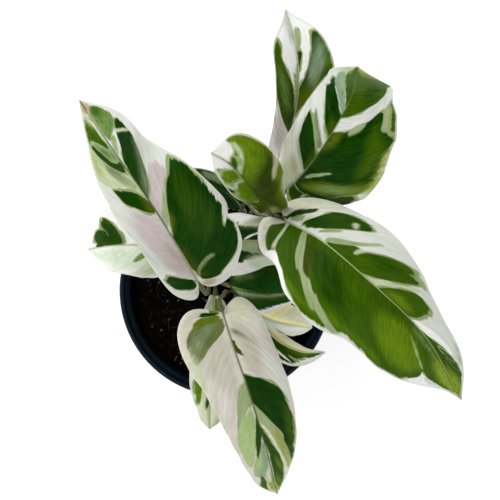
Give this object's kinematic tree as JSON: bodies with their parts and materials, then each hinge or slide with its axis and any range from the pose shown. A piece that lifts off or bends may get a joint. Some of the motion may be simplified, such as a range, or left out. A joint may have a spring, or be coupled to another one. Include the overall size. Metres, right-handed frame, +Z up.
{
  "type": "potted prayer plant",
  "caption": "Potted prayer plant: broad green, cream and pink-white marbled leaves on slim stalks over a round dark nursery pot.",
  "frame": {"origin": "centre of the pot's underside, on the surface it stands on", "axes": "+Z up along the pot's axis; +X towards the largest leaf, +Y towards the two leaves at the back"},
  "size_m": [0.184, 0.238, 0.2473],
  "materials": {
    "pot": "satin blue-black moulded plastic",
    "soil": "dark loose potting mix of bark, peat and coir with pale grit",
    "stalk": "smooth green to red-brown leaf stalk",
    "blade_west": "satin leaf, marbled green, sage and cream",
    "blade_east": "satin leaf, marbled green, sage and cream",
    "blade_south": "satin leaf, marbled green, sage and cream",
    "blade_northeast": "satin leaf, marbled green, sage and cream",
    "blade_north": "satin leaf, marbled green, sage and cream",
    "blade_cupped": "satin leaf, marbled green, sage and cream",
    "blade_low_west": "satin leaf, marbled green, sage and cream",
    "blade_inner_east": "satin leaf, marbled green, sage and cream",
    "blade_low_southeast": "satin leaf, marbled green, sage and cream",
    "blade_cream": "satin leaf, marbled green, sage and cream",
    "blade_pointed": "satin leaf, marbled green, sage and cream",
    "blade_low_south": "satin leaf, marbled green, sage and cream",
    "blade_low_northwest": "satin leaf, marbled green, sage and cream"
  },
  "bodies": {
    "root": {"pot": "pot", "soil": "soil", "blade_west": "blade_west", "petiole_west": "stalk", "blade_east": "blade_east", "petiole_east": "stalk", "blade_south": "blade_south", "petiole_south": "stalk", "blade_northeast": "blade_northeast", "petiole_northeast": "stalk", "blade_north": "blade_north", "petiole_north": "stalk", "blade_cupped": "blade_cupped", "petiole_cupped": "stalk", "blade_low_west": "blade_low_west", "petiole_low_west": "stalk", "blade_inner_east": "blade_inner_east", "petiole_inner_east": "stalk", "blade_low_southeast": "blade_low_southeast", "petiole_low_southeast": "stalk", "blade_cream": "blade_cream", "petiole_cream": "stalk", "blade_pointed": "blade_pointed", "petiole_pointed": "stalk", "blade_low_south": "blade_low_south", "petiole_low_south": "stalk", "blade_low_northwest": "blade_low_northwest", "petiole_low_northwest": "stalk"}
  },
  "joints": []
}
